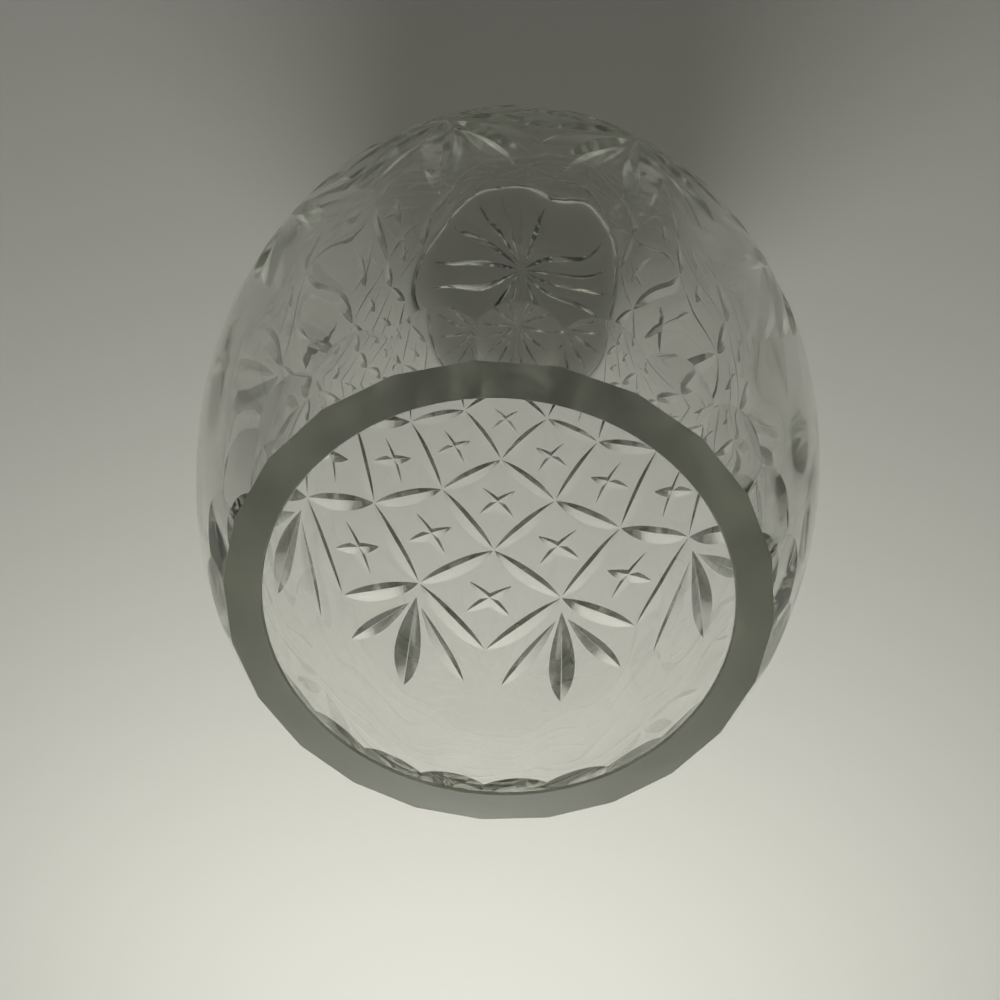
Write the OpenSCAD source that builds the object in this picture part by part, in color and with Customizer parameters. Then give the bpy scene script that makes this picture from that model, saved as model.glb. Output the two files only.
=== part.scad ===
// Cut crystal vase: a barrel of clear lead glass, modelled standing on its base.
// The vase is one piece of glass. Its nodes are the zones that the cutter works one by one,
// and they meet face to face at level planes.

/* [Outline] */
// Height from the resting face to the ground rim
height = 208; // [180:1:240]
// Outer radius of the rim, before its flutes are cut
rim_r = 50.4; // [44:0.2:56]
// Outer radius of the belly
belly_r = 71; // [64:0.5:80]
// Height of the belly above the resting face
belly_z = 124; // [110:1:136]
// Outer radius of the foot, before its bevel
foot_r = 36; // [32:0.5:42]
// Ground bevel on the edge of the foot
foot_bevel = 2; // [1:0.25:3]

/* [Wall] */
// Wall thickness at the rim, before its flutes are cut
rim_wall = 7.8; // [6:0.1:9]
// Wall thickness at the belly
belly_wall = 7; // [6:0.1:9]
// Wall thickness where the wall meets the inside floor
floor_wall = 9; // [8:0.1:12]
// Thickness of the base under the inside floor
base_t = 14; // [12:0.5:18]
// Ground bevel on the inner edge of the rim
rim_bevel = 0.6; // [0.2:0.1:1]

/* [Neck flutes] */
// Number of flat flutes round the neck
flutes = 23; // [20:1:28]
// Turn of the flutes past the lattice points
flute_turn = 3.4; // [0:0.1:15]
// Height of a flute, from the rim to its rounded lower end
flute_h = 11.5; // [9:0.5:15]
// Depth of a flute at the rim, from the uncut wall
flute_depth = 0.95; // [0.7:0.05:1.2]

/* [Diamond lattice] */
// Number of diamonds round the vase
columns = 10; // [9:1:12]
// Height of the uppermost lattice points above the resting face
lattice_top = 128; // [122:1:134]
// Rows of lattice lines from the top points down to the foot
rows = 6; // [4:1:6]
// Height of a diamond as a share of its width
diamond_shape = 1.1; // [0.9:0.05:1.15]
// Opening angle of the lattice mitre cuts
lattice_angle = 125; // [100:5:130]
// Uncut gap from a lattice point to the tips of the cuts round it
lattice_gap = 1.2; // [0.8:0.1:2]

/* [Crosses] */
// Length of a cross stroke as a share of a diamond side
cross_share = 0.6; // [0.4:0.05:0.7]
// Opening angle of the cross cuts
cross_angle = 130; // [100:5:135]

/* [Fans] */
// Rise of a fan's root above the lattice point under it
fan_gap = 7; // [5:0.5:9]
// Height of the tip of a fan's middle blade above the resting face
fan_tip_z = 155; // [150:1:162]
// Height of the tips of a fan's side blades above the resting face
fan_side_z = 145; // [140:1:148]
// Angle round the vase from a fan's middle blade to a side tip
fan_spread = 13.7; // [9:0.1:15]
// Gap from a fan's root to the start of its side blades
blade_gap = 4; // [3:0.5:6]
// Opening angle of the middle blade's cut
blade_angle = 125; // [105:5:130]
// Opening angle of the side blades' cuts
side_blade_angle = 115; // [95:5:120]

/* [Base star] */
// Points of the star under the base
star_points = 16; // [12:2:20]
// Outer radius of the star
star_r = 31; // [24:0.5:32]
// Radius of the uncut spot at the star's centre
star_core_r = 2; // [1:0.25:5]
// Depth of a star ray at its middle
star_depth = 1.8; // [1:0.1:2.2]
// Opening angle of the star rays
star_angle = 110; // [90:5:120]

/* [Hidden] */
$fn = 120;

// Colour of the clear glass, with the faint grey-green of its thick edges
glass = [0.80, 0.84, 0.83, 0.45];
// Room that a cutter keeps above and past the surface that it cuts
clear = 4;
// How far the star's cutters reach past the resting face
star_skim = 0.2;
// Radius past every part of the vase
reach = belly_r + 4 * clear;

// Radius of an arc that leaves the belly upright and comes in by drop over a rise
function arc_r(drop, rise) = (drop * drop + rise * rise) / (2 * drop);

upper_rise = height - belly_z;
upper_arc = arc_r(belly_r - rim_r, upper_rise);
lower_arc = arc_r(belly_r - foot_r, belly_z);

// Distance out from the arc's centre, and the slope, of the outer wall at a height
function arc_at(z) = z > belly_z ? upper_arc : lower_arc;
function arc_out(z) = sqrt(arc_at(z) * arc_at(z) - (z - belly_z) * (z - belly_z));
function wall_r(z) = belly_r - arc_at(z) + arc_out(z);
function wall_slope(z) = (belly_z - z) / arc_out(z);

// A point of the outer wall, and the wall's outward normal, at p = [angle, height]
function on_wall(p) = [wall_r(p[1]) * cos(p[0]), wall_r(p[1]) * sin(p[0]), p[1]];
function wall_out(p) = [cos(p[0]), sin(p[0]), -wall_slope(p[1])];

// The cavity: its own arcs, from the rim's inner edge to the belly and on to the floor
inner_rim_r = rim_r - rim_wall;
inner_belly_r = belly_r - belly_wall;
inner_floor_r = wall_r(base_t) - floor_wall;
inner_upper_arc = arc_r(inner_belly_r - inner_rim_r, upper_rise);
inner_lower_arc = arc_r(inner_belly_r - inner_floor_r, belly_z - base_t);

// The foot's bevel line: it starts on the resting face and meets the wall at the bevel's height
bevel_in = [foot_r - foot_bevel, 0];
bevel_out = 2 * [wall_r(foot_bevel), foot_bevel] - bevel_in;

// Half the angle from one diamond to the next
half_column = 180 / columns;
// Height of one row at a level, so that a diamond keeps its shape as the wall comes in
function row_drop(z) = diamond_shape * wall_r(z) * sin(half_column) / norm([1, wall_slope(z)]);
function row_below(z) = z - row_drop(z - row_drop(z) / 2);
// Level of a row of lattice points, from 0 at the top
function row_z(i) = i == 0 ? lattice_top : row_below(row_z(i - 1));

// Level planes where one zone meets the next
fan_foot_z = (row_z(1) + row_z(2)) / 2;
fan_top_z = fan_tip_z + clear;
flute_foot_z = height - flute_h - clear;

// Half of the solid barrel's section, as true arcs
module barrel_section(max_r, upper, lower, z_low, z_high) {
    intersection() {
        translate([max_r - upper, belly_z])
            circle(r = upper, $fn = 4 * $fn);
        translate([0, belly_z])
            square([reach, z_high - belly_z]);
    }
    intersection() {
        translate([max_r - lower, belly_z])
            circle(r = lower, $fn = 4 * $fn);
        translate([0, z_low])
            square([reach, belly_z - z_low]);
    }
}

// Half of the whole wall's section, before any cutting
module wall_section() {
    difference() {
        barrel_section(belly_r, upper_arc, lower_arc, 0, height);
        barrel_section(inner_belly_r, inner_upper_arc, inner_lower_arc, base_t, height + clear);
        polygon([bevel_in, [bevel_out[0], 0], bevel_out]);
        polygon([
            [inner_rim_r - rim_bevel, height - 2 * rim_bevel],
            [inner_rim_r + rim_bevel, height],
            [inner_rim_r - rim_bevel, height]
        ]);
    }
}

// The uncut glass between two levels
module zone(z_low, z_high) {
    rotate_extrude()
        intersection() {
            wall_section();
            translate([0, z_low])
                square([reach, z_high - z_low]);
        }
}

// A straight mitre cut along a chord of the wall, which tapers to a point at both ends
// from, to: [angle, height]; gap_from, gap_to: how far short of them the cut stops
module mitre(from, to, gap_from, gap_to, angle) {
    span = norm(on_wall(to) - on_wall(from));
    start = from + gap_from / span * (to - from);
    end = to - gap_to / span * (to - from);
    a = on_wall(start);
    b = on_wall(end);
    length = norm(b - a);
    along = (b - a) / length;
    facing = wall_out((start + end) / 2);
    upright = facing - (facing * along) * along;
    out = upright / norm(upright);
    side = cross(out, along);
    half_w = clear * tan(angle / 2);
    multmatrix([
        [side[0], out[0], along[0], a[0]],
        [side[1], out[1], along[1], a[1]],
        [side[2], out[2], along[2], a[2]],
        [0, 0, 0, 1]
    ])
        translate([0, 0, -clear])
            linear_extrude(length + 2 * clear)
                polygon([[0, 0], [half_w, clear], [-half_w, clear]]);
}

// One row of lattice cuts, from the points of row i to those of the row below it
module lattice_row(i) {
    for (c = [0 : columns - 1], turn = [-1, 1]) {
        start = (2 * c + i % 2) * half_column;
        mitre([start, row_z(i)], [start + turn * half_column, row_z(i + 1)],
            lattice_gap, lattice_gap, lattice_angle);
    }
}

// The crosses in the diamonds whose middles lie on row i
module cross_row(i) {
    up = cross_share * (row_z(i - 1) - row_z(i)) / 2;
    down = cross_share * (row_z(i) - row_z(i + 1)) / 2;
    swing = cross_share * half_column / 2;
    for (c = [0 : columns - 1], turn = [-1, 1]) {
        middle = (2 * c + (i + 1) % 2) * half_column;
        mitre([middle - turn * swing, row_z(i) + up], [middle + turn * swing, row_z(i) - down],
            0, 0, cross_angle);
    }
}

// The fans that stand in the notches of the lattice's top edge
module fans() {
    root_z = row_z(1) + fan_gap;
    for (c = [0 : columns - 1]) {
        middle = (2 * c + 1) * half_column;
        mitre([middle, root_z], [middle, fan_tip_z], 0, 0, blade_angle);
        for (turn = [-1, 1])
            mitre([middle, root_z], [middle + turn * fan_spread, fan_side_z],
                blade_gap, 0, side_blade_angle);
    }
}

// The flat flutes round the neck, each a face that runs out of the wall at its foot
module neck_flutes() {
    top_r = rim_r - flute_depth;
    run = wall_r(height - flute_h) - top_r;
    tilt = atan2(run, flute_h);
    for (i = [0 : flutes - 1])
        rotate(flute_turn + 360 / flutes * i)
            translate([top_r, 0, height])
                rotate([0, -tilt, 0])
                    translate([0, -flute_h, -2 * flute_h])
                        cube([flute_h, 2 * flute_h, 3 * flute_h]);
}

// One ray of the base star: a four-sided point with a keel that is deepest at its middle
module star_ray() {
    middle = (star_core_r + star_r) / 2;
    half_w = star_depth * tan(star_angle / 2);
    keel = [middle, 0, star_depth];
    outline = [[star_core_r, 0, 0], [middle, half_w, 0], [star_r, 0, 0], [middle, -half_w, 0]];
    skim = 1 + star_skim / star_depth;
    spread = [for (p = outline) keel + skim * (p - keel)];
    polyhedron(concat(spread, [keel]), [[3, 2, 1, 0], [0, 1, 4], [1, 2, 4], [2, 3, 4], [3, 0, 4]]);
}

// The star under the base
module base_star() {
    for (i = [0 : star_points - 1])
        rotate(360 / star_points * i)
            star_ray();
}

// Foot and floor of the vase, with the star cut under it
module star_base() {
    color(glass)
        difference() {
            zone(0, base_t);
            base_star();
            lattice_row(rows - 1);
            cross_row(rows - 1);
        }
}

// Lower wall, cut all over with the diamond lattice and its crosses
module diamond_wall() {
    color(glass)
        difference() {
            zone(base_t, fan_foot_z);
            for (i = [1 : rows - 1])
                lattice_row(i);
            for (i = [2 : rows - 1])
                cross_row(i);
        }
}

// Belly wall, where the lattice ends in points with a fan in each notch
module fan_wall() {
    color(glass)
        difference() {
            zone(fan_foot_z, fan_top_z);
            lattice_row(0);
            lattice_row(1);
            cross_row(1);
            fans();
        }
}

// Plain polished shoulder
module plain_shoulder() {
    color(glass)
        zone(fan_top_z, flute_foot_z);
}

// Neck and flat ground rim, with short flat flutes round the outside
module fluted_rim() {
    color(glass)
        difference() {
            zone(flute_foot_z, height);
            neck_flutes();
        }
}

star_base();
diamond_wall();
fan_wall();
plain_shoulder();
fluted_rim();
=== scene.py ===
"""Cut crystal vase: the looks of the part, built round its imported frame.

The vase is one piece of clear lead crystal. A plain blank is turned from its section, and each family
of wheel cuts is then taken out of it: lattice, crosses, fans, neck flutes and the star under the base.
"""

import math

import bmesh
import bpy
from mathutils import Matrix, Vector, noise


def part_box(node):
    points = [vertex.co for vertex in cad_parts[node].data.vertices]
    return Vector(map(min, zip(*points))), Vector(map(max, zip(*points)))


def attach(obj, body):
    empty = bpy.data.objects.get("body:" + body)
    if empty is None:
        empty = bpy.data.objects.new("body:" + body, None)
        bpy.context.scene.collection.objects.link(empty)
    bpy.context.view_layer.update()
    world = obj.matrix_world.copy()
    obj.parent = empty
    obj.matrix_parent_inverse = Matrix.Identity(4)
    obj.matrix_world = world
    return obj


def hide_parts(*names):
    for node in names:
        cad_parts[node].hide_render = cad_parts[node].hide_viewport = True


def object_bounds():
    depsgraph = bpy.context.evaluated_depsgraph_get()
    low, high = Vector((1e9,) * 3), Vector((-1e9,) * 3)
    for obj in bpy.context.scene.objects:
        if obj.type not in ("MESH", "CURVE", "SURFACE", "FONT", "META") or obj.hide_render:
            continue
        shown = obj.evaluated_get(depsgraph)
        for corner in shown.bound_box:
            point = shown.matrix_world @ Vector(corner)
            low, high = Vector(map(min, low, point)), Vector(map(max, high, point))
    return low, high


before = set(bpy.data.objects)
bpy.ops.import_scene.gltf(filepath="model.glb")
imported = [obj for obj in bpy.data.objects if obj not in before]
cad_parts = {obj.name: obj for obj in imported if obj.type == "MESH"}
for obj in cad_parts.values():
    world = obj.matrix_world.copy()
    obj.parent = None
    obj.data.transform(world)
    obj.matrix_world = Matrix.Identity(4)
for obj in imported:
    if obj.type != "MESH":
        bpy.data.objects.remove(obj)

bl_info = {
    "name": "Cut Crystal Vase",
    "version": (1, 0, 0),
    "blender": (4, 5, 0),
    "location": "3D View > Sidebar > Vase",
    "description": "Builds a cut crystal vase and a plain studio round it",
    "category": "Object",
}

CAD_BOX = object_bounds()
VASE = "crystal_vase"
CUTS_TREE = "Wheel Cuts"
GLASS = "lead_crystal"

# Marks on the faces of the blank and of the cutters, which tell the polished walls from the cuts
SURFACE = "surface"
FLAT, OUTER, INNER, RIM, CUT, POLISHED_CUT = range(6)
# How far the glass is left satin: in full on the ground rim, and a little in the mitre cuts
SATIN = "satin"
SATIN_SHARES = {RIM: 1, CUT: 0.45, POLISHED_CUT: 0.1}
# Away from the outer wall, an edge that bends by more than this stays sharp
CREASE = math.radians(18)
# How far each face of the floor's round corner turns
CORNER_STEP = math.radians(9)
# The level faces inside and under the base are this many times as long as the wall's faces
LEVEL_STEPS = 3
# A cut goes below its chord by at least this share of the wall's bulge over it
LEAST_DEPTH = 0.1
# The opening angle at which a cutter keeps its own width
OWN_WIDTH = math.radians(90)


def length(name, description, default):
    """A size in metres."""
    return bpy.props.FloatProperty(
        name=name, description=description, default=default, precision=4, unit="LENGTH"
    )


def angle(name, description, degrees):
    """An angle, given in degrees."""
    return bpy.props.FloatProperty(
        name=name, description=description, default=math.radians(degrees), subtype="ANGLE"
    )


def share(name, description, default):
    """A plain number without a unit."""
    return bpy.props.FloatProperty(name=name, description=description, default=default)


def count(name, description, default):
    """A number of like things."""
    return bpy.props.IntProperty(name=name, description=description, default=default, min=1)


def colour(name, description, default):
    """A linear colour."""
    return bpy.props.FloatVectorProperty(
        name=name, description=description, default=default, size=3, subtype="COLOR", min=0, max=1
    )


def place(name, description, default):
    """A point in the part's frame."""
    return bpy.props.FloatVectorProperty(
        name=name, description=description, default=default, size=3, subtype="TRANSLATION", unit="LENGTH"
    )


class VaseBlank(bpy.types.PropertyGroup):
    """Sizes of the uncut vase."""

    height: length("Height", "From the resting face to the rim", CAD_BOX[1].z - CAD_BOX[0].z)
    rim_r: length("Rim Radius", "Outer radius of the rim before its flutes are cut", 0.0504)
    belly_r: length("Belly Radius", "Outer radius of the belly", 0.071)
    belly_z: length("Belly Height", "Height of the belly above the resting face", 0.124)
    foot_r: length("Foot Radius", "Outer radius of the foot before its bevel", 0.036)
    foot_bevel: length("Foot Bevel", "Ground bevel on the edge of the foot", 0.002)
    rim_wall: length("Rim Wall", "Thickness of the wall at the rim before its flutes are cut", 0.0078)
    belly_wall: length("Belly Wall", "Thickness of the wall at the belly", 0.007)
    floor_wall: length("Floor Wall", "Thickness of the wall at the inside floor", 0.009)
    base_t: length("Base", "Thickness of the base under the floor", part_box("star_base")[1].z)
    rim_bevel: length("Rim Bevel", "Ground bevel on the rim's inner edge", 0.0006)
    floor_round: length("Floor Round", "Radius of the corner round the inside floor", 0.007)
    segments: count("Segments", "Faces round the vase", 240)
    step: length("Step", "Height of the faces up the wall", 0.0026)
    wave: length("Wave", "Height of the waves that blowing leaves inside the wall", 0.0005)
    wave_across: length("Wave Across", "Distance from wave to wave round the inside", 0.013)
    wave_along: length("Wave Along", "Distance from wave to wave down the inside", 0.045)
    wave_fade: length("Wave Fade", "Distance below the rim over which the waves grow", 0.015)


class VaseCuts(bpy.types.PropertyGroup):
    """Sizes of the wheel cuts."""

    columns: count("Columns", "Diamonds round the vase", 10)
    rows: count("Rows", "Rows of lattice lines", 6)
    lattice_top: length("Lattice Top", "Height of the uppermost lattice points", 0.128)
    diamond_shape: share("Diamond Shape", "Height of a diamond as a share of its width", 1.1)
    lattice_gap: length("Lattice Gap", "Uncut gap from a lattice point to a cut's tip", 0.0005)
    lattice_depth: share("Lattice Depth", "Depth of a lattice cut as a share of its length", 0.076)
    lattice_fullness: share("Lattice Fullness", "How bluntly the lattice cuts end", 2.6)
    lattice_angle: angle("Lattice Angle", "Opening angle of the lattice cuts", 104)
    cross_share: share("Cross Share", "Length of a cross stroke as a share of a diamond side", 0.6)
    cross_depth: share("Cross Depth", "Depth of a cross stroke as a share of its length", 0.085)
    cross_fullness: share("Cross Fullness", "How bluntly the cross strokes end", 2.0)
    cross_angle: angle("Cross Angle", "Opening angle of the cross strokes", 104)
    fan_gap: length("Fan Gap", "Rise of a fan's root above the lattice point under it", 0.007)
    fan_tip_z: length("Fan Tip", "Height of the tip of a fan's middle blade", 0.155)
    fan_side_z: length("Fan Side", "Height of the tips of a fan's side blades", 0.145)
    fan_spread: angle("Fan Spread", "Angle from a fan's middle blade to a side tip", 13.7)
    blade_gap: length("Blade Gap", "Gap from a fan's root to its side blades", 0.004)
    blade_depth: share("Blade Depth", "Depth of a middle blade as a share of its length", 0.064)
    blade_fullness: share("Blade Fullness", "How bluntly the blades end", 2.2)
    blade_angle: angle("Blade Angle", "Opening angle of the middle blades", 104)
    side_depth: share("Side Depth", "Depth of a side blade as a share of its length", 0.054)
    side_angle: angle("Side Angle", "Opening angle of the side blades", 104)
    blade_lean: share("Blade Lean", "How far a blade's widest part leans to its tip", 0.6)
    flutes: count("Flutes", "Flat flutes round the neck", 23)
    flute_turn: angle("Flute Turn", "Turn of the flutes past the lattice points", 3.4)
    flute_h: length("Flute Height", "Height of a flute from the rim to its foot", 0.0115)
    flute_depth: length("Flute Depth", "Depth of a flute at the rim", 0.00095)
    star_points: count("Star Points", "Rays of the star under the base", 16)
    star_r: length("Star Radius", "Outer radius of the star", 0.031)
    star_core_r: length("Star Core", "Radius of the uncut spot at the star's centre", 0.002)
    star_depth: share("Star Depth", "Depth of a star ray as a share of its length", 0.042)
    star_fullness: share("Star Fullness", "How bluntly the star rays end", 2.0)
    star_angle: angle("Star Angle", "Opening angle of the star rays", 110)


class VaseGlass(bpy.types.PropertyGroup):
    """Finish of the crystal."""

    ior: share("Refraction", "Index of refraction of the lead crystal", 1.545)
    ground: share("Ground", "Roughness of the rim's ground face", 0.35)
    tint: colour("Tint", "Colour that thick glass takes on", (0.61, 0.64, 0.53))
    shade: colour("Shade", "Share of the light that a surface lets into the shadow", (0.77, 0.77, 0.76))
    density: share("Density", "How fast the glass takes on its tint, per metre", 12.0)
    wave: length("Wave", "Height of the faint waves left by polishing", 0.00004)
    wave_scale: share("Wave Scale", "Waves per metre", 45.0)


class VaseStage(bpy.types.PropertyGroup):
    """The studio: camera, pale floor and soft lights."""

    eye: place("Eye", "Where the camera stands", (-0.03227, -0.11466, 0.37969))
    aim: place("Aim", "Where the camera looks", (0.01102, 0.03382, 0.1))
    roll: angle("Roll", "Turn of the camera about its own axis", 175.59)
    lens: share("Lens", "Focal length in millimetres", 41.2)
    nearest: length("Nearest", "Distance from the camera at which things begin to show", 0.01)
    floor_size: length("Floor Size", "Width of the round floor", 1.4)
    floor_edges: count("Floor Edges", "Edges round the floor", 128)
    floor_under: length("Floor Under", "Gap from the vase's resting face down to the floor", 0.001)
    floor_colour: colour("Floor Colour", "Pale colour of the floor", (0.80, 0.80, 0.78))
    wall: share("Wall", "Strength of the even light at the horizon", 0.52)
    wall_top: angle("Wall Top", "Angle above the horizon at which the light has faded", 40)
    ceiling: share("Ceiling", "Strength of the even light from above", 0.02)
    key: share("Key", "Power of the soft light on the floor, in watts", 2.7)
    key_place: place("Key Place", "Where the soft light on the floor hangs", (0.12, 0.36, 0.5))
    key_aim: place("Key Aim", "Where the soft light on the floor points", (0.1, 0.58, 0.0))
    key_size: length("Key Size", "Width of the soft light on the floor", 0.4)
    sheen: share("Sheen", "Power of the soft light that the glass mirrors, in watts", 3.2)
    sheen_place: place("Sheen Place", "Where the light that the glass mirrors hangs", (0.12, 0.4, 0.55))
    sheen_size: length("Sheen Size", "Width of the soft light that the glass mirrors", 0.5)
    light_colour: colour("Light Colour", "Colour of all the light", (1.0, 0.99, 0.9))
    bounces: count("Bounces", "How often light may pass a surface of the glass", 32)


class Barrel:
    """A wall that swells along two arcs, which meet upright at its widest level."""

    def __init__(self, widest, level, top, bottom):
        """widest: the largest radius, at level; top, bottom: (radius, height) of the two ends."""
        self.widest = widest
        self.level = level
        self.upper = self.arc(top)
        self.lower = self.arc(bottom)

    def arc(self, end):
        """Radius of the arc from the widest level to an end."""
        drop = self.widest - end[0]
        rise = end[1] - self.level
        return (drop * drop + rise * rise) / (2 * drop)

    def out(self, z):
        """The arc's radius at a height, and the wall's level distance from the arc's centre."""
        arc = self.upper if z > self.level else self.lower
        return arc, math.sqrt(arc * arc - (z - self.level) ** 2)

    def radius(self, z):
        """Radius of the wall at a height."""
        arc, out = self.out(z)
        return self.widest - arc + out

    def slope(self, z):
        """Change of radius with height."""
        return (self.level - z) / self.out(z)[1]

    def point(self, turn, z):
        """The point of the wall at an angle and a height."""
        r = self.radius(z)
        return Vector((r * math.cos(turn), r * math.sin(turn), z))

    def normal(self, turn, z):
        """The outward normal of the wall at an angle and a height."""
        return Vector((math.cos(turn), math.sin(turn), -self.slope(z))).normalized()


def outer_wall(blank):
    """The outside of the vase."""
    return Barrel(blank.belly_r, blank.belly_z, (blank.rim_r, blank.height), (blank.foot_r, 0))


def inner_wall(blank):
    """The inside of the vase, down to its floor."""
    floor_r = outer_wall(blank).radius(blank.base_t) - blank.floor_wall
    return Barrel(
        blank.belly_r - blank.belly_wall,
        blank.belly_z,
        (blank.rim_r - blank.rim_wall, blank.height),
        (floor_r, blank.base_t),
    )


def steps(start, end, step):
    """Even steps from start to end, both included."""
    parts = max(1, round(abs(end - start) / step))
    return [start + (end - start) * i / parts for i in range(parts + 1)]


def floor_corner(inner, blank):
    """Where the inside wall turns into the floor: the round's upper height and its points."""
    rounding = blank.floor_round
    centre_z = blank.base_t + rounding
    lean = math.atan(inner.slope(centre_z))
    touch_z = centre_z - rounding * math.sin(lean)
    centre_r = inner.radius(touch_z) - rounding * math.cos(lean)
    turns = steps(-lean, -math.pi / 2, CORNER_STEP)
    points = [(centre_r + rounding * math.cos(t), centre_z + rounding * math.sin(t)) for t in turns]
    return touch_z, points


def blank_section(blank):
    """Bands of the blank's section, from under the base up the outside and down the inside.

    Each band is its surface mark and the points (radius, height) that its faces lead to."""
    outer, inner = outer_wall(blank), inner_wall(blank)
    under_r = blank.foot_r - blank.foot_bevel
    edge_z = blank.height - blank.rim_bevel
    corner_z, corner = floor_corner(inner, blank)
    rim_in_r = blank.rim_r - blank.rim_wall + blank.rim_bevel
    coarse = LEVEL_STEPS * blank.step
    return [
        (FLAT, [(r, 0) for r in steps(0, under_r, coarse)]),
        (FLAT, [(outer.radius(blank.foot_bevel), blank.foot_bevel)]),
        (OUTER, [(outer.radius(z), z) for z in steps(blank.foot_bevel, blank.height, blank.step)[1:]]),
        (RIM, [(rim_in_r, blank.height), (inner.radius(edge_z), edge_z)]),
        (INNER, [(inner.radius(z), z) for z in steps(edge_z, corner_z, blank.step)[1:]]),
        (FLAT, corner[1:]),
        (FLAT, [(r, blank.base_t) for r in steps(corner[-1][0], 0, coarse)[1:]]),
    ]


def wavy(point, blank):
    """How far the inside of the wall swells in or out at a point."""
    out = Vector((point.x, point.y, 0)).normalized()
    across, along = blank.wave_across, blank.wave_along
    growth = min(1, (blank.height - point.z) / blank.wave_fade)
    swell = noise.noise((point.x / across, point.y / across, point.z / along))
    return out * blank.wave * growth * swell


def turned_mesh(name, blank):
    """A closed mesh of the blank's section turned about the axis, with each band's mark on its faces."""
    segments = blank.segments
    bands = blank_section(blank)
    bm = bmesh.new()
    mark = bm.faces.layers.int.new(SURFACE)
    turns = [2 * math.pi * i / segments for i in range(segments)]
    rings = []
    for surface, points in bands:
        for i, (r, z) in enumerate(points):
            around = [Vector((math.cos(t) * r, math.sin(t) * r, z)) for t in (turns if r > 0 else [0])]
            if surface == INNER and i < len(points) - 1:
                around = [p + wavy(p, blank) for p in around]
            rings.append((surface, [bm.verts.new(p) for p in around]))
    for (_, low), (surface, high) in zip(rings, rings[1:]):
        for i in range(segments):
            j = (i + 1) % segments
            a, b = low[i % len(low)], low[j % len(low)]
            c, d = high[j % len(high)], high[i % len(high)]
            face = bm.faces.new(list(dict.fromkeys((a, b, c, d))))
            face[mark] = surface
    bmesh.ops.recalc_face_normals(bm, faces=bm.faces)
    return finish_mesh(bm, name)


def finish_mesh(bm, name):
    """Turns a bmesh into a mesh."""
    mesh = bpy.data.meshes.new(name)
    bm.to_mesh(mesh)
    bm.free()
    return mesh


def add_object(name, data):
    """Adds an object to the scene."""
    obj = bpy.data.objects.new(name, data)
    bpy.context.scene.collection.objects.link(obj)
    return obj


def prism(name, rings, surface):
    """A closed mesh through rings of points, capped at both ends, with a mark on all its faces."""
    bm = bmesh.new()
    mark = bm.faces.layers.int.new(SURFACE)
    made = [[bm.verts.new(p) for p in ring] for ring in rings]
    for low, high in zip(made, made[1:]):
        for i in range(len(low)):
            j = (i + 1) % len(low)
            bm.faces.new((low[i], low[j], high[j], high[i]))
    bm.faces.new(made[0])
    bm.faces.new(made[-1])
    for face in bm.faces:
        face[mark] = surface
    bmesh.ops.recalc_face_normals(bm, faces=bm.faces)
    return finish_mesh(bm, name)


def mitre_cutter(name, fullness, lean=0, surface=CUT):
    """A mitre wheel's path, one unit long and deep, with its keel deeper towards one end by lean.

    A larger fullness gives blunter ends. The wheel's edge is worn, so the keel is a narrow land.
    The path runs past both ends by overrun, and the cutter stands clear of the wall by top."""
    overrun = 0.15
    top = 12
    land = 0.05
    ring_step = 0.05
    rings = []
    for t in steps(-overrun, 1 + overrun, ring_step):
        way = 2 * t - 1
        keel = (1 - abs(way) ** fullness) * (1 + lean * way)
        half = top + keel + land
        y = way / 2
        rings.append([(land, y, -keel), (half, y, top), (-half, y, top), (-land, y, -keel)])
    return prism(name, rings, surface)


def flute_cutter(name, cuts):
    """The flat side of the wheel that cuts a flute, standing along the flute, with its face at x = 0."""
    reach = cuts.flute_h
    outline = [(0, -reach), (reach, -reach), (reach, reach), (0, reach)]
    levels = (-2 * reach, reach)
    return prism(name, [[(x, y, z) for x, y in outline] for z in levels], POLISHED_CUT)


class Places:
    """Where a family of cuts goes: a point, a turn, a length and a depth for each cut."""

    def __init__(self):
        self.points, self.turns, self.lengths, self.depths = [], [], [], []

    def add(self, point, axes, length_, depth):
        """axes: the cutter's own X, Y and Z directions at this place."""
        self.points.append(point)
        self.turns.append(Matrix(axes).transposed().to_euler())
        self.lengths.append(length_)
        self.depths.append(depth)

    def chord(self, wall, start, end, depth_share, gaps=(0, 0)):
        """A cut along a wall's chord from start to end, each (angle, height), short of them by gaps."""
        start, end = Vector(start), Vector(end)
        run = end - start
        span = (wall.point(*end) - wall.point(*start)).length
        start, end = start + run * (gaps[0] / span), end - run * (gaps[1] / span)
        a, b = wall.point(*start), wall.point(*end)
        middle = (start + end) / 2
        along = (b - a).normalized()
        facing = wall.normal(*middle)
        out = (facing - facing.dot(along) * along).normalized()
        bulge = (wall.point(*middle) - (a + b) / 2).dot(out)
        reach = (b - a).length
        depth = max(depth_share * reach - bulge, LEAST_DEPTH * bulge)
        self.add((a + b) / 2, (along.cross(out), along, out), reach, depth)

    def mesh(self, name):
        """Loose points that carry the turn, length and depth of each cut."""
        mesh = bpy.data.meshes.new(name)
        mesh.from_pydata(self.points, [], [])
        turn = mesh.attributes.new("turn", "FLOAT_VECTOR", "POINT")
        turn.data.foreach_set("vector", [v for e in self.turns for v in e])
        for key, values in (("reach", self.lengths), ("depth", self.depths)):
            mesh.attributes.new(key, "FLOAT", "POINT").data.foreach_set("value", values)
        return mesh


def lattice_rows(wall, cuts):
    """Heights of the rows of lattice points, from the top down."""
    half = math.sin(math.pi / cuts.columns)

    def drop(z):
        return cuts.diamond_shape * wall.radius(z) * half / math.hypot(1, wall.slope(z))

    rows = [cuts.lattice_top]
    for _ in range(cuts.rows):
        z = rows[-1]
        rows.append(z - drop(z - drop(z) / 2))
    return rows


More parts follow.
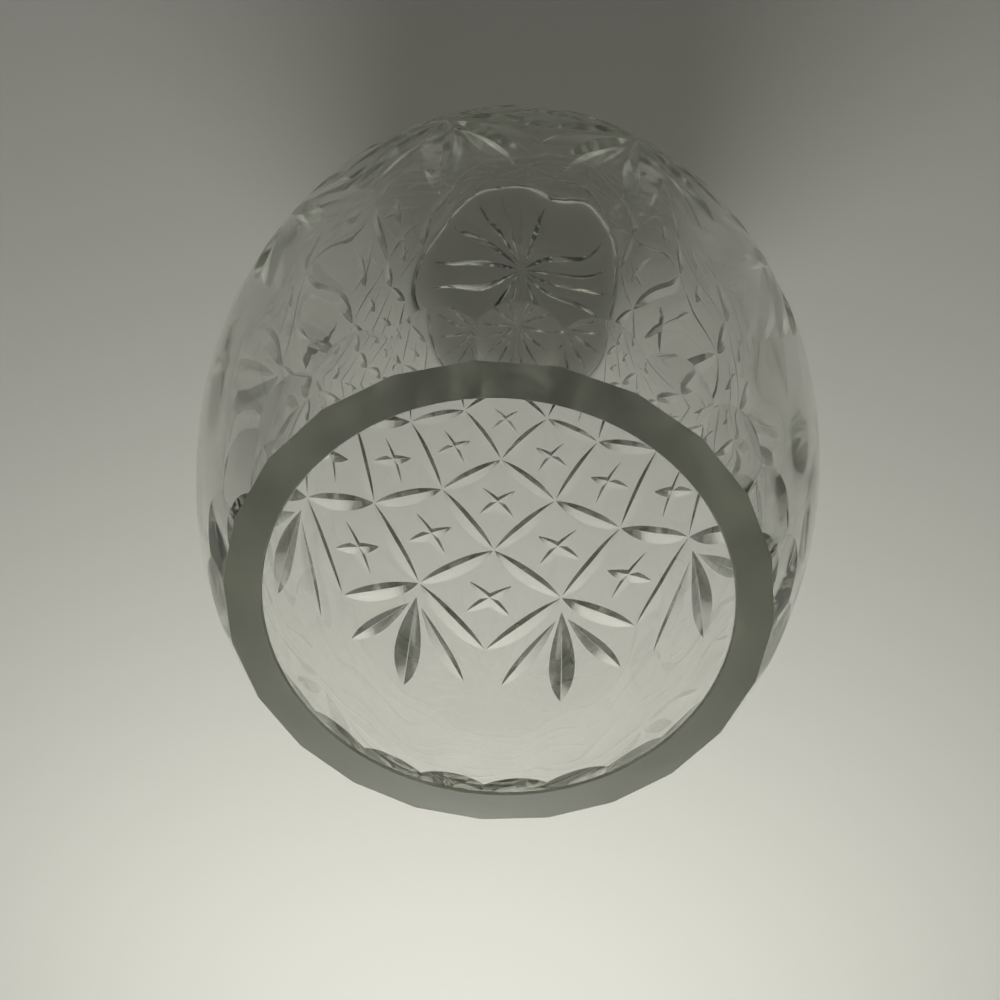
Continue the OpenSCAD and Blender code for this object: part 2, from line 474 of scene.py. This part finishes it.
def lattice_places(wall, cuts):
    """The lattice: two cuts down from each point of each row."""
    rows = lattice_rows(wall, cuts)
    half = math.pi / cuts.columns
    places = Places()
    for i, (high, low) in enumerate(zip(rows, rows[1:])):
        for c in range(cuts.columns):
            start = (2 * c + i % 2) * half
            for side in (-half, half):
                ends = (start, high), (start + side, low)
                places.chord(wall, *ends, cuts.lattice_depth, (cuts.lattice_gap, cuts.lattice_gap))
    return places


def cross_places(wall, cuts):
    """The crosses: two strokes in each diamond."""
    rows = lattice_rows(wall, cuts)
    half = math.pi / cuts.columns
    places = Places()
    swing = cuts.cross_share * half / 2
    for i in range(1, cuts.rows):
        up = cuts.cross_share * (rows[i - 1] - rows[i]) / 2
        down = cuts.cross_share * (rows[i] - rows[i + 1]) / 2
        for c in range(cuts.columns):
            middle = (2 * c + (i + 1) % 2) * half
            for side in (-swing, swing):
                ends = (middle - side, rows[i] + up), (middle + side, rows[i] - down)
                places.chord(wall, *ends, cuts.cross_depth)
    return places


def fan_places(wall, cuts, sides):
    """The fans: the middle blade of each, or its two side blades."""
    root_z = lattice_rows(wall, cuts)[1] + cuts.fan_gap
    half = math.pi / cuts.columns
    places = Places()
    for c in range(cuts.columns):
        root = ((2 * c + 1) * half, root_z)
        if sides:
            for side in (-cuts.fan_spread, cuts.fan_spread):
                tip = (root[0] + side, cuts.fan_side_z)
                places.chord(wall, root, tip, cuts.side_depth, (cuts.blade_gap, 0))
        else:
            places.chord(wall, root, (root[0], cuts.fan_tip_z), cuts.blade_depth)
    return places


def flute_places(wall, blank, cuts):
    """The neck flutes: flat faces that meet below the rim and leave the wall at each flute's foot."""
    top_r = blank.rim_r - cuts.flute_depth
    lean = math.atan2(wall.radius(blank.height - cuts.flute_h) - top_r, cuts.flute_h)
    places = Places()
    for i in range(cuts.flutes):
        turn = cuts.flute_turn + 2 * math.pi * i / cuts.flutes
        axes = Matrix.Rotation(turn, 3, "Z") @ Matrix.Rotation(-lean, 3, "Y")
        point = Vector((top_r * math.cos(turn), top_r * math.sin(turn), blank.height))
        places.add(point, axes.transposed(), 1, 1)
    return places


def star_places(cuts):
    """The star: rays out from the middle of the resting face."""
    reach = cuts.star_r - cuts.star_core_r
    middle = (cuts.star_r + cuts.star_core_r) / 2
    down = Vector((0, 0, -1))
    places = Places()
    for i in range(cuts.star_points):
        turn = 2 * math.pi * i / cuts.star_points
        along = Vector((math.cos(turn), math.sin(turn), 0))
        places.add(middle * along, (along.cross(down), along, down), reach, cuts.star_depth * reach)
    return places


def cuts_tree():
    """The tree that takes one family of cuts out of the vase."""
    tree = bpy.data.node_groups.get(CUTS_TREE)
    if tree:
        return tree
    tree = bpy.data.node_groups.new(CUTS_TREE, "GeometryNodeTree")
    face = tree.interface
    face.new_socket("Vase", in_out="INPUT", socket_type="NodeSocketGeometry")
    face.new_socket("Cutter", in_out="INPUT", socket_type="NodeSocketObject")
    face.new_socket("Places", in_out="INPUT", socket_type="NodeSocketObject")
    opening = face.new_socket("Opening Angle", in_out="INPUT", socket_type="NodeSocketFloat")
    opening.subtype = "ANGLE"
    face.new_socket("Glass", in_out="INPUT", socket_type="NodeSocketMaterial")
    face.new_socket("Vase", in_out="OUTPUT", socket_type="NodeSocketGeometry")

    new, link = tree.nodes.new, tree.links.new
    given = new("NodeGroupInput")
    cutter, places = new("GeometryNodeObjectInfo"), new("GeometryNodeObjectInfo")
    link(given.outputs["Cutter"], cutter.inputs["Object"])
    link(given.outputs["Places"], places.inputs["Object"])

    def attribute(name, kind):
        node = new("GeometryNodeInputNamedAttribute")
        node.data_type = kind
        node.inputs["Name"].default_value = name
        return node.outputs["Attribute"]

    def maths(operation, *values):
        node = new("ShaderNodeMath")
        node.operation = operation
        for socket, value in zip(node.inputs, values):
            if isinstance(value, (int, float)):
                socket.default_value = value
            else:
                link(value, socket)
        return node.outputs["Value"]

    turn = new("FunctionNodeEulerToRotation")
    link(attribute("turn", "FLOAT_VECTOR"), turn.inputs["Euler"])
    depth = attribute("depth", "FLOAT")
    half_angle = maths("MULTIPLY", given.outputs["Opening Angle"], 0.5)
    size = new("ShaderNodeCombineXYZ")
    link(maths("MULTIPLY", depth, maths("TANGENT", half_angle)), size.inputs["X"])
    link(attribute("reach", "FLOAT"), size.inputs["Y"])
    link(depth, size.inputs["Z"])

    wheel = new("GeometryNodeInstanceOnPoints")
    link(places.outputs["Geometry"], wheel.inputs["Points"])
    link(cutter.outputs["Geometry"], wheel.inputs["Instance"])
    link(turn.outputs["Rotation"], wheel.inputs["Rotation"])
    link(size.outputs["Vector"], wheel.inputs["Scale"])
    cut = new("GeometryNodeMeshBoolean")
    cut.operation = "DIFFERENCE"
    cut.solver = "MANIFOLD"
    link(given.outputs["Vase"], cut.inputs["Mesh 1"])
    link(wheel.outputs["Instances"], cut.inputs["Mesh 2"])
    real = new("GeometryNodeRealizeInstances")
    link(cut.outputs["Mesh"], real.inputs["Geometry"])
    coat = new("GeometryNodeSetMaterial")
    link(real.outputs["Geometry"], coat.inputs["Geometry"])
    link(given.outputs["Glass"], coat.inputs["Material"])
    link(coat.outputs["Geometry"], new("NodeGroupOutput").inputs["Vase"])
    return tree


def set_input(modifier, name, value):
    """Sets a named input of a tree by its identifier."""
    for item in modifier.node_group.interface.items_tree:
        if item.in_out == "INPUT" and item.name == name:
            modifier[item.identifier] = value
            return
    raise KeyError(name)


def take_cuts(cutter_mesh, places, opening):
    """Takes one family of cuts out of the vase and keeps the result as a plain mesh."""
    vase = bpy.data.objects[VASE]
    cutter = add_object("cutter", cutter_mesh)
    spots = add_object("places", places.mesh("places"))
    modifier = vase.modifiers.new(CUTS_TREE, "NODES")
    modifier.node_group = cuts_tree()
    set_input(modifier, "Cutter", cutter)
    set_input(modifier, "Places", spots)
    set_input(modifier, "Opening Angle", opening)
    set_input(modifier, "Glass", bpy.data.materials[GLASS])
    graph = bpy.context.evaluated_depsgraph_get()
    mesh = bpy.data.meshes.new_from_object(vase.evaluated_get(graph))
    vase.modifiers.clear()
    before, vase.data = vase.data, mesh
    for used in (cutter, spots):
        data = used.data
        bpy.data.objects.remove(used)
        bpy.data.meshes.remove(data)
    bpy.data.meshes.remove(before)
    mesh.name = VASE


def polish_walls(mesh, blank):
    """Keeps the cuts' edges sharp, marks the satin faces and gives the outside its arcs' normals."""
    outer = outer_wall(blank)
    bm = bmesh.new()
    bm.from_mesh(mesh)
    mark = bm.faces.layers.int[SURFACE]
    for face in bm.faces:
        face.smooth = True
    for edge in bm.edges:
        marks = {face[mark] for face in edge.link_faces}
        edge.smooth = len(marks) == 1 and (OUTER in marks or edge.calc_face_angle(math.pi) < CREASE)
    bm.to_mesh(mesh)
    bm.free()
    marks = mesh.attributes[SURFACE].data
    normals = [(0, 0, 0)] * len(mesh.loops)
    satin = []
    for face in mesh.polygons:
        satin.append(SATIN_SHARES.get(marks[face.index].value, 0))
        if marks[face.index].value != OUTER:
            continue
        for loop in face.loop_indices:
            x, y, z = mesh.vertices[mesh.loops[loop].vertex_index].co
            normals[loop] = outer.normal(math.atan2(y, x), z)
    mesh.normals_split_custom_set(normals)
    mesh.attributes.new(SATIN, "FLOAT", "FACE").data.foreach_set("value", satin)
    mesh.attributes.remove(mesh.attributes[SURFACE])


def crystal_material(glass):
    """Clear lead crystal: a faint grey-green in thick glass, and faint waves from polishing."""
    material = bpy.data.materials.new(GLASS)
    material.use_nodes = True
    nodes, link = material.node_tree.nodes, material.node_tree.links.new
    nodes.clear()
    body = nodes.new("ShaderNodeBsdfPrincipled")
    body.inputs["Base Color"].default_value = (1, 1, 1, 1)
    body.inputs["Metallic"].default_value = 0
    body.inputs["Transmission Weight"].default_value = 1
    body.inputs["IOR"].default_value = glass.ior
    satin = nodes.new("ShaderNodeAttribute")
    satin.attribute_name = SATIN
    rough = nodes.new("ShaderNodeMath")
    rough.operation = "MULTIPLY"
    rough.inputs[1].default_value = glass.ground
    link(satin.outputs["Fac"], rough.inputs[0])
    link(rough.outputs["Value"], body.inputs["Roughness"])

    where = nodes.new("ShaderNodeTexCoord")
    waves = nodes.new("ShaderNodeTexNoise")
    waves.inputs["Scale"].default_value = glass.wave_scale
    waves.inputs["Detail"].default_value = 1
    bump = nodes.new("ShaderNodeBump")
    bump.inputs["Strength"].default_value = 1
    bump.inputs["Distance"].default_value = glass.wave
    link(where.outputs["Object"], waves.inputs["Vector"])
    link(waves.outputs["Fac"], bump.inputs["Height"])
    link(bump.outputs["Normal"], body.inputs["Normal"])

    through = nodes.new("ShaderNodeBsdfTransparent")
    through.inputs["Color"].default_value = (*glass.shade, 1)
    path = nodes.new("ShaderNodeLightPath")
    lit = nodes.new("ShaderNodeMath")
    lit.operation = "MAXIMUM"
    link(path.outputs["Is Shadow Ray"], lit.inputs[0])
    link(path.outputs["Is Diffuse Ray"], lit.inputs[1])
    mix = nodes.new("ShaderNodeMixShader")
    link(lit.outputs["Value"], mix.inputs["Fac"])
    link(body.outputs["BSDF"], mix.inputs[1])
    link(through.outputs["BSDF"], mix.inputs[2])
    depth = nodes.new("ShaderNodeVolumeAbsorption")
    depth.inputs["Color"].default_value = (*glass.tint, 1)
    depth.inputs["Density"].default_value = glass.density
    out = nodes.new("ShaderNodeOutputMaterial")
    link(mix.outputs["Shader"], out.inputs["Surface"])
    link(depth.outputs["Volume"], out.inputs["Volume"])
    return material


def floor_material(stage):
    """The floor's matt pale finish."""
    material = bpy.data.materials.new("pale_floor")
    material.use_nodes = True
    matt = material.node_tree.nodes["Principled BSDF"]
    matt.inputs["Base Color"].default_value = (*stage.floor_colour, 1)
    matt.inputs["Roughness"].default_value = 1
    matt.inputs["Specular IOR Level"].default_value = 0
    return material


class VASE_OT_turn_blank(bpy.types.Operator):
    """Turn the uncut vase from its section"""

    bl_idname = "vase.turn_blank"
    bl_label = "Turn Blank"

    def execute(self, context):
        scene = context.scene
        crystal_material(scene.vase_glass)
        add_object(VASE, turned_mesh(VASE, scene.vase_blank))
        return {"FINISHED"}


class VASE_OT_cut_lattice(bpy.types.Operator):
    """Cut the diamond lattice round the lower wall"""

    bl_idname = "vase.cut_lattice"
    bl_label = "Cut Lattice"

    def execute(self, context):
        cuts = context.scene.vase_cuts
        places = lattice_places(outer_wall(context.scene.vase_blank), cuts)
        take_cuts(mitre_cutter("lattice", cuts.lattice_fullness), places, cuts.lattice_angle)
        return {"FINISHED"}


class VASE_OT_cut_crosses(bpy.types.Operator):
    """Cut a cross in each diamond"""

    bl_idname = "vase.cut_crosses"
    bl_label = "Cut Crosses"

    def execute(self, context):
        cuts = context.scene.vase_cuts
        places = cross_places(outer_wall(context.scene.vase_blank), cuts)
        take_cuts(mitre_cutter("cross", cuts.cross_fullness), places, cuts.cross_angle)
        return {"FINISHED"}


class VASE_OT_cut_fans(bpy.types.Operator):
    """Cut a fan of three blades in each notch of the lattice"""

    bl_idname = "vase.cut_fans"
    bl_label = "Cut Fans"

    def execute(self, context):
        cuts = context.scene.vase_cuts
        wall = outer_wall(context.scene.vase_blank)
        for sides, opening in ((False, cuts.blade_angle), (True, cuts.side_angle)):
            blade = mitre_cutter("blade", cuts.blade_fullness, cuts.blade_lean)
            take_cuts(blade, fan_places(wall, cuts, sides), opening)
        return {"FINISHED"}


class VASE_OT_cut_flutes(bpy.types.Operator):
    """Cut the short flat flutes round the neck"""

    bl_idname = "vase.cut_flutes"
    bl_label = "Cut Flutes"

    def execute(self, context):
        scene = context.scene
        places = flute_places(outer_wall(scene.vase_blank), scene.vase_blank, scene.vase_cuts)
        take_cuts(flute_cutter("flute", scene.vase_cuts), places, OWN_WIDTH)
        return {"FINISHED"}


class VASE_OT_cut_star(bpy.types.Operator):
    """Cut the star under the base"""

    bl_idname = "vase.cut_star"
    bl_label = "Cut Star"

    def execute(self, context):
        cuts = context.scene.vase_cuts
        ray = mitre_cutter("ray", cuts.star_fullness, surface=POLISHED_CUT)
        take_cuts(ray, star_places(cuts), cuts.star_angle)
        return {"FINISHED"}


class VASE_OT_polish(bpy.types.Operator):
    """Polish the walls and put the vase in the frame"""

    bl_idname = "vase.polish"
    bl_label = "Polish"

    def execute(self, context):
        vase = bpy.data.objects[VASE]
        polish_walls(vase.data, context.scene.vase_blank)
        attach(vase, "root")
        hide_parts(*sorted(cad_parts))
        return {"FINISHED"}


def add_floor(stage):
    """A plain pale round floor under the vase."""
    bm = bmesh.new()
    under = Matrix.Translation((0, 0, -stage.floor_under))
    edges, radius = stage.floor_edges, stage.floor_size / 2
    bmesh.ops.create_circle(bm, cap_ends=True, segments=edges, radius=radius, matrix=under)
    floor = add_object("floor", finish_mesh(bm, "floor"))
    floor.data.materials.append(floor_material(stage))


def studio_world(stage):
    """Even light that is brightest at the horizon and fades towards the ceiling."""
    world = bpy.data.worlds.new("studio")
    world.use_nodes = True
    nodes, link = world.node_tree.nodes, world.node_tree.links.new
    where = nodes.new("ShaderNodeTexCoord")
    axes = nodes.new("ShaderNodeSeparateXYZ")
    link(where.outputs["Generated"], axes.inputs["Vector"])
    rise = nodes.new("ShaderNodeMapRange")
    rise.interpolation_type = "SMOOTHSTEP"
    rise.inputs["From Min"].default_value = 0
    rise.inputs["From Max"].default_value = math.sin(stage.wall_top)
    rise.inputs["To Min"].default_value = stage.wall
    rise.inputs["To Max"].default_value = stage.ceiling
    link(axes.outputs["Z"], rise.inputs["Value"])
    nodes["Background"].inputs["Color"].default_value = (*stage.light_colour, 1)
    link(rise.outputs["Result"], nodes["Background"].inputs["Strength"])
    return world


def add_light(name, where, towards, size, power, tone):
    """A round soft light, which neither the camera sees nor the glass lets through."""
    lamp = bpy.data.lights.new(name, "AREA")
    lamp.shape = "DISK"
    lamp.size = size
    lamp.energy = power
    lamp.color = tone
    obj = add_object(name, lamp)
    obj.location = where
    obj.rotation_euler = (Vector(towards) - Vector(where)).to_track_quat("-Z", "Y").to_euler()
    obj.visible_camera = False
    obj.visible_transmission = False
    return obj


def soften(light):
    """Fades a light's glow towards its edge, so that its mirror image has a soft edge."""
    lamp = light.data
    lamp.use_nodes = True
    nodes, link = lamp.node_tree.nodes, lamp.node_tree.links.new
    here = nodes.new("ShaderNodeNewGeometry")
    away = nodes.new("ShaderNodeVectorMath")
    away.operation = "DISTANCE"
    away.inputs[1].default_value = light.location
    link(here.outputs["Position"], away.inputs[0])
    fade = nodes.new("ShaderNodeMapRange")
    fade.interpolation_type = "SMOOTHSTEP"
    fade.inputs["From Max"].default_value = lamp.size / 2
    fade.inputs["To Min"].default_value = 1
    fade.inputs["To Max"].default_value = 0
    link(away.outputs["Value"], fade.inputs["Value"])
    link(fade.outputs["Result"], nodes["Emission"].inputs["Strength"])


def add_camera(stage):
    """The camera at the photograph's viewing angle."""
    camera = add_object("camera", bpy.data.cameras.new("camera"))
    camera.data.lens = stage.lens
    camera.data.clip_start = stage.nearest
    camera.location = stage.eye
    look = (Vector(stage.aim) - Vector(stage.eye)).to_track_quat("-Z", "Y").to_matrix()
    camera.rotation_euler = (look @ Matrix.Rotation(-stage.roll, 3, "Z")).to_euler()
    bpy.context.scene.camera = camera


class VASE_OT_set_stage(bpy.types.Operator):
    """Set the camera, the pale floor and the lights"""

    bl_idname = "vase.set_stage"
    bl_label = "Set Stage"

    def execute(self, context):
        scene = context.scene
        stage = scene.vase_stage
        add_camera(stage)
        add_floor(stage)
        tone = stage.light_colour
        middle = Vector((0, 0, scene.vase_blank.height / 2))
        key = add_light("key", stage.key_place, stage.key_aim, stage.key_size, stage.key, tone)
        key.visible_glossy = False
        sheen = add_light("sheen", stage.sheen_place, middle, stage.sheen_size, stage.sheen, tone)
        sheen.visible_diffuse = False
        soften(sheen)
        scene.world = studio_world(stage)
        scene.view_settings.view_transform = "Standard"
        scene.cycles.max_bounces = stage.bounces
        scene.cycles.transmission_bounces = stage.bounces
        scene.cycles.glossy_bounces = stage.bounces // 2
        scene.cycles.transparent_max_bounces = stage.bounces
        scene.cycles.caustics_refractive = False
        scene.cycles.caustics_reflective = False
        return {"FINISHED"}


class VASE_PT_panel(bpy.types.Panel):
    """The vase's steps, in order"""

    bl_idname = "VASE_PT_panel"
    bl_label = "Cut Crystal Vase"
    bl_space_type = "VIEW_3D"
    bl_region_type = "UI"
    bl_category = "Vase"

    def draw(self, context):
        for step in STEPS:
            self.layout.operator(step.bl_idname)
        for name in GROUPS:
            box = self.layout.box()
            group = getattr(context.scene, name)
            for key in group.__annotations__:
                box.prop(group, key)


STEPS = (
    VASE_OT_turn_blank,
    VASE_OT_cut_lattice,
    VASE_OT_cut_crosses,
    VASE_OT_cut_fans,
    VASE_OT_cut_flutes,
    VASE_OT_cut_star,
    VASE_OT_polish,
    VASE_OT_set_stage,
)
GROUPS = {
    "vase_blank": VaseBlank,
    "vase_cuts": VaseCuts,
    "vase_glass": VaseGlass,
    "vase_stage": VaseStage,
}


def register():
    """Registers the classes and the scene's property groups."""
    for cls in (*GROUPS.values(), *STEPS, VASE_PT_panel):
        bpy.utils.register_class(cls)
    for name, group in GROUPS.items():
        setattr(bpy.types.Scene, name, bpy.props.PointerProperty(type=group))


def unregister():
    """Takes the classes and the property groups away again."""
    for name in GROUPS:
        delattr(bpy.types.Scene, name)
    for cls in (VASE_PT_panel, *reversed(STEPS), *reversed(GROUPS.values())):
        bpy.utils.unregister_class(cls)


def main():
    """Builds the vase and its stage."""
    register()
    bpy.ops.vase.turn_blank()
    bpy.ops.vase.cut_lattice()
    bpy.ops.vase.cut_crosses()
    bpy.ops.vase.cut_fans()
    bpy.ops.vase.cut_flutes()
    bpy.ops.vase.cut_star()
    bpy.ops.vase.polish()
    bpy.ops.vase.set_stage()


if __name__ == "__main__":
    main()
